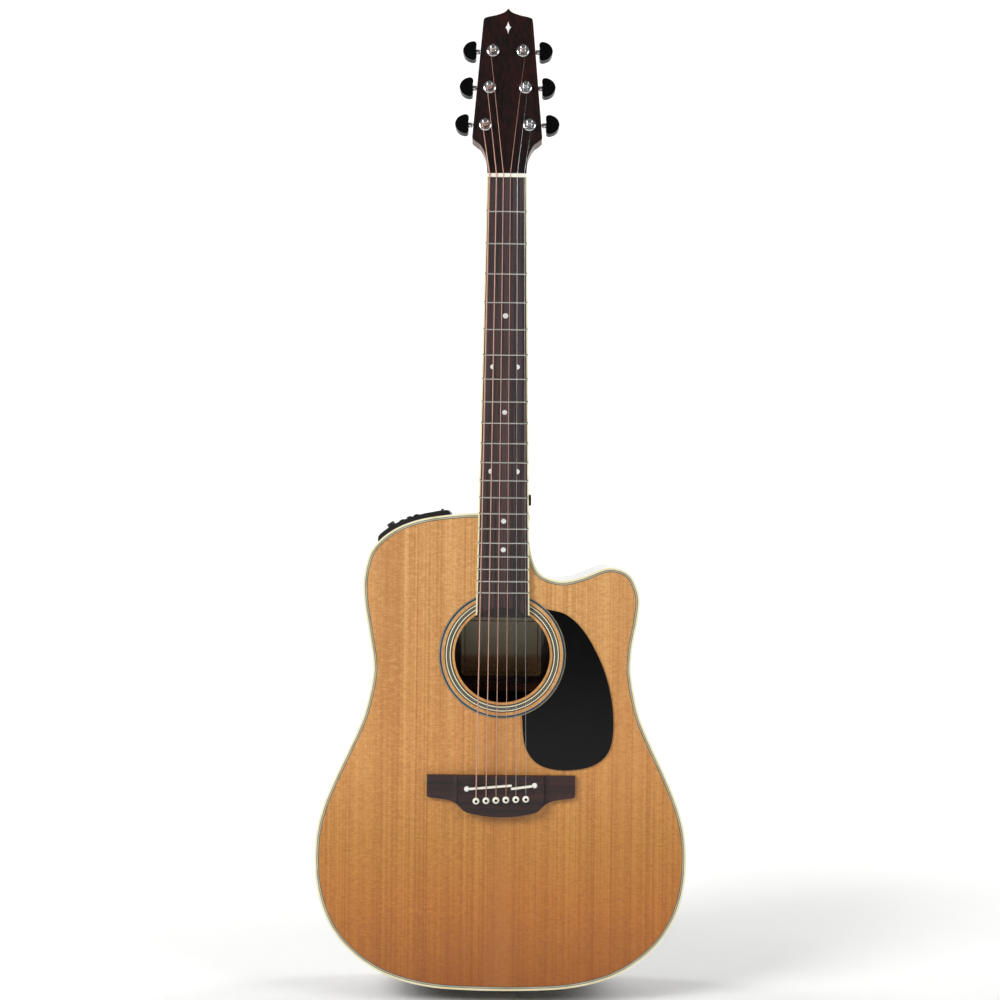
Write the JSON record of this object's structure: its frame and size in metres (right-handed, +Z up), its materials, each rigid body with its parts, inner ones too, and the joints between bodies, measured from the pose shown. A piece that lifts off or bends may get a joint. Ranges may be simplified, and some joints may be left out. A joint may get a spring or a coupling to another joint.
{
  "type": "acoustic guitar",
  "caption": "Steel-string acoustic guitar with a rounded cutaway, a pinned bridge, enclosed worm-geared tuners and a side preamp.",
  "frame": {"origin": "centre of the tail strap button's end face", "axes": "+Z runs up the neck, -Y is the front with the strings, +X is the treble side with the cutaway"},
  "size_m": [0.396, 0.1332, 1.0733],
  "materials": {
    "black_gloss": "gloss",
    "black_matte": "satin moulding",
    "bone_white": "polished",
    "bronze_wound": "wound wire",
    "cedar_top": "satin varnish, straight fine grain",
    "chrome": "polished",
    "cream_binding": "gloss",
    "mahogany": "satin varnish",
    "nickel": "polished",
    "plain_steel": "drawn wire",
    "rosette_rings": "inlaid rings under varnish",
    "rosewood": "dark reddish brown, gloss on the body, oiled on the board and bridge",
    "spruce_bracing": "bare"
  },
  "bodies": {
    "guitar": {"back_binding": "cream_binding", "back_brace_lower": "spruce_bracing", "back_brace_waist": "spruce_bracing", "back_plate": "rosewood", "bridge": "rosewood", "bridge_pin_1": "bone_white", "bridge_pin_2": "bone_white", "bridge_pin_3": "bone_white", "bridge_pin_4": "bone_white", "bridge_pin_5": "bone_white", "bridge_pin_6": "bone_white", "bridge_plate": "mahogany", "fingerboard": "rosewood", "headstock_veneer": "rosewood", "heel_strap_button": "black_gloss", "neck": "mahogany", "neck_block": "mahogany", "nut": "bone_white", "pickguard": "black_gloss", "preamp": "black_matte", "rosette": "rosette_rings", "saddle_bass": "bone_white", "saddle_treble": "bone_white", "side_bass": "rosewood", "side_treble": "rosewood", "soundboard": "cedar_top", "string_1": "bronze_wound", "string_2": "bronze_wound", "string_3": "bronze_wound", "string_4": "bronze_wound", "string_5": "plain_steel", "string_6": "plain_steel", "tail_block": "mahogany", "tail_jack": "nickel", "top_binding": "cream_binding", "truss_rod": "plain_steel", "tuner_housing_1": "chrome", "tuner_housing_2": "chrome", "tuner_housing_3": "chrome", "tuner_housing_4": "chrome", "tuner_housing_5": "chrome", "tuner_housing_6": "chrome", "x_brace": "spruce_bracing"},
    "tuner_knob_1": {"tuner_knob_1": "black_gloss"},
    "tuner_post_1": {"tuner_post_1": "chrome"},
    "tuner_knob_2": {"tuner_knob_2": "black_gloss"},
    "tuner_post_2": {"tuner_post_2": "chrome"},
    "tuner_knob_3": {"tuner_knob_3": "black_gloss"},
    "tuner_post_3": {"tuner_post_3": "chrome"},
    "tuner_knob_4": {"tuner_knob_4": "black_gloss"},
    "tuner_post_4": {"tuner_post_4": "chrome"},
    "tuner_knob_5": {"tuner_knob_5": "black_gloss"},
    "tuner_post_5": {"tuner_post_5": "chrome"},
    "tuner_knob_6": {"tuner_knob_6": "black_gloss"},
    "tuner_post_6": {"tuner_post_6": "chrome"},
    "volume_knob": {"volume_knob": "black_matte"},
    "tone_slider_1": {"tone_slider_1": "black_matte"},
    "tone_slider_2": {"tone_slider_2": "black_matte"},
    "tone_slider_3": {"tone_slider_3": "black_matte"},
    "battery_door": {"battery_door": "black_matte"}
  },
  "joints": [
    {"name": "tuner_knob_1_turn", "type": "hinge", "parent": "guitar", "child": "tuner_knob_1", "pos_m": [-0.0236, -0.02675, 0.94347], "axis": [-1, 0, 0], "continuous": true},
    {"name": "tuner_post_1_turn", "type": "hinge", "parent": "guitar", "child": "tuner_post_1", "pos_m": [-0.0236, -0.04747, 0.9386], "axis": [0, -0.9744, 0.225], "continuous": true},
    {"name": "tuner_knob_2_turn", "type": "hinge", "parent": "guitar", "child": "tuner_knob_2", "pos_m": [-0.0193, -0.01691, 0.98605], "axis": [-1, 0, 0], "continuous": true},
    {"name": "tuner_post_2_turn", "type": "hinge", "parent": "guitar", "child": "tuner_post_2", "pos_m": [-0.0193, -0.03764, 0.98118], "axis": [0, -0.9744, 0.225], "continuous": true},
    {"name": "tuner_knob_3_turn", "type": "hinge", "parent": "guitar", "child": "tuner_knob_3", "pos_m": [-0.0162, -0.0072, 1.02814], "axis": [-1, 0, 0], "continuous": true},
    {"name": "tuner_post_3_turn", "type": "hinge", "parent": "guitar", "child": "tuner_post_3", "pos_m": [-0.0162, -0.02792, 1.02328], "axis": [0, -0.9744, 0.225], "continuous": true},
    {"name": "tuner_knob_4_turn", "type": "hinge", "parent": "guitar", "child": "tuner_knob_4", "pos_m": [0.0162, -0.0072, 1.02814], "axis": [1, 0, 0], "continuous": true},
    {"name": "tuner_post_4_turn", "type": "hinge", "parent": "guitar", "child": "tuner_post_4", "pos_m": [0.0162, -0.02792, 1.02328], "axis": [0, -0.9744, 0.225], "continuous": true},
    {"name": "tuner_knob_5_turn", "type": "hinge", "parent": "guitar", "child": "tuner_knob_5", "pos_m": [0.0193, -0.01691, 0.98605], "axis": [1, 0, 0], "continuous": true},
    {"name": "tuner_post_5_turn", "type": "hinge", "parent": "guitar", "child": "tuner_post_5", "pos_m": [0.0193, -0.03764, 0.98118], "axis": [0, -0.9744, 0.225], "continuous": true},
    {"name": "tuner_knob_6_turn", "type": "hinge", "parent": "guitar", "child": "tuner_knob_6", "pos_m": [0.0236, -0.02675, 0.94347], "axis": [1, 0, 0], "continuous": true},
    {"name": "tuner_post_6_turn", "type": "hinge", "parent": "guitar", "child": "tuner_post_6", "pos_m": [0.0236, -0.04747, 0.9386], "axis": [0, -0.9744, 0.225], "continuous": true},
    {"name": "volume_turn", "type": "hinge", "parent": "guitar", "child": "volume_knob", "pos_m": [-0.12197, -0.01, 0.50718], "axis": [-0.5605, 0, 0.8281], "range_deg": [-140, 140]},
    {"name": "tone_1_slide", "type": "slide", "parent": "guitar", "child": "tone_slider_1", "axis": [0, 1, 0], "range_m": [-0.0085, 0.0085]},
    {"name": "tone_2_slide", "type": "slide", "parent": "guitar", "child": "tone_slider_2", "axis": [0, 1, 0], "range_m": [-0.0085, 0.0085]},
    {"name": "tone_3_slide", "type": "slide", "parent": "guitar", "child": "tone_slider_3", "axis": [0, 1, 0], "range_m": [-0.0085, 0.0085]},
    {"name": "battery_door_hinge", "type": "hinge", "parent": "guitar", "child": "battery_door", "pos_m": [-0.08645, -0.01, 0.5217], "axis": [0, -1, 0], "range_deg": [0, 100]}
  ],
  "couplings": [
    {"joint": "tuner_post_1_turn", "follows": "tuner_knob_1_turn", "ratio": 0.066667},
    {"joint": "tuner_post_2_turn", "follows": "tuner_knob_2_turn", "ratio": 0.066667},
    {"joint": "tuner_post_3_turn", "follows": "tuner_knob_3_turn", "ratio": 0.066667},
    {"joint": "tuner_post_4_turn", "follows": "tuner_knob_4_turn", "ratio": 0.066667},
    {"joint": "tuner_post_5_turn", "follows": "tuner_knob_5_turn", "ratio": 0.066667},
    {"joint": "tuner_post_6_turn", "follows": "tuner_knob_6_turn", "ratio": 0.066667}
  ]
}
